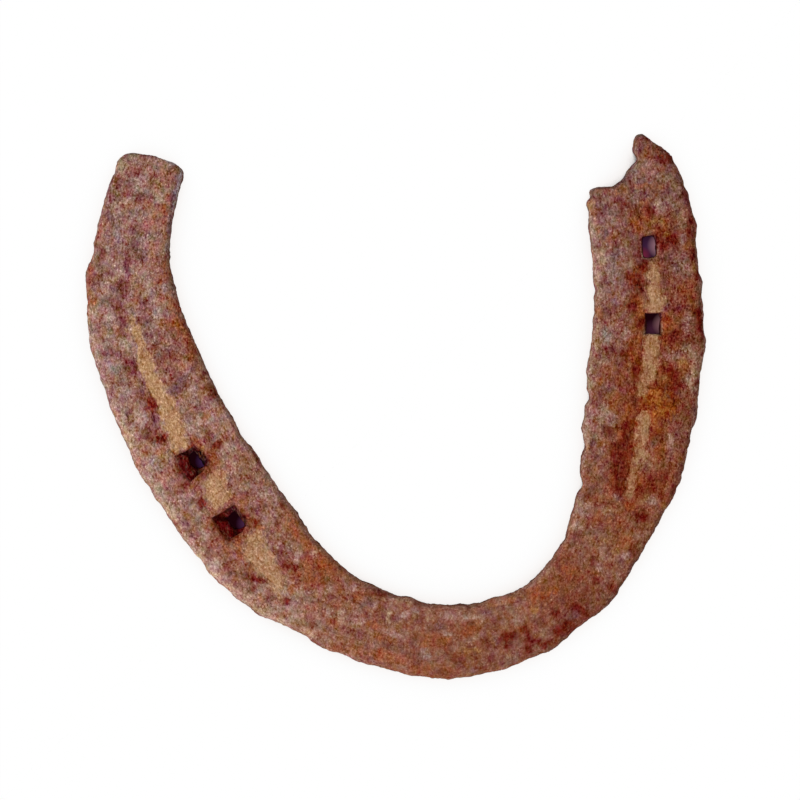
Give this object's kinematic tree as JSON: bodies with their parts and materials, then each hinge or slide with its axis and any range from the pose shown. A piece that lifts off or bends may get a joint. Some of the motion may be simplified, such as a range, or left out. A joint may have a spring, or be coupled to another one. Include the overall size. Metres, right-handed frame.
{
  "type": "horseshoe",
  "caption": "Worn forged horseshoe, spread open, with creased branches, rectangular nail holes, one broken heel and soil packed in the creases.",
  "frame": {"origin": "centre of the shoe's plan outline, on the plane of its hoof side", "axes": "+Z out of the ground side, +X across the shoe towards the branch with the broken heel, +Y from the toe towards the heels"},
  "size_m": [0.1406, 0.1244, 0.0086],
  "materials": {
    "rusted_iron": "matt, pitted, mottled rust in brown, purple-brown, orange and pale grey",
    "dry_soil": "matt, sandy, fine-grained",
    "orange_rust": "matt, crusty",
    "rusted_nail": "matt, crusty"
  },
  "bodies": {
    "root": {"shoe": "rusted_iron", "soil_left_upper": "dry_soil", "soil_left_middle": "dry_soil", "soil_left_lower": "dry_soil", "soil_right_upper": "dry_soil", "soil_right_middle": "dry_soil", "soil_right_lower": "dry_soil", "rust_lump_right": "orange_rust", "nail_stub_left": "rusted_nail", "nail_stub_right": "rusted_nail"}
  },
  "joints": []
}
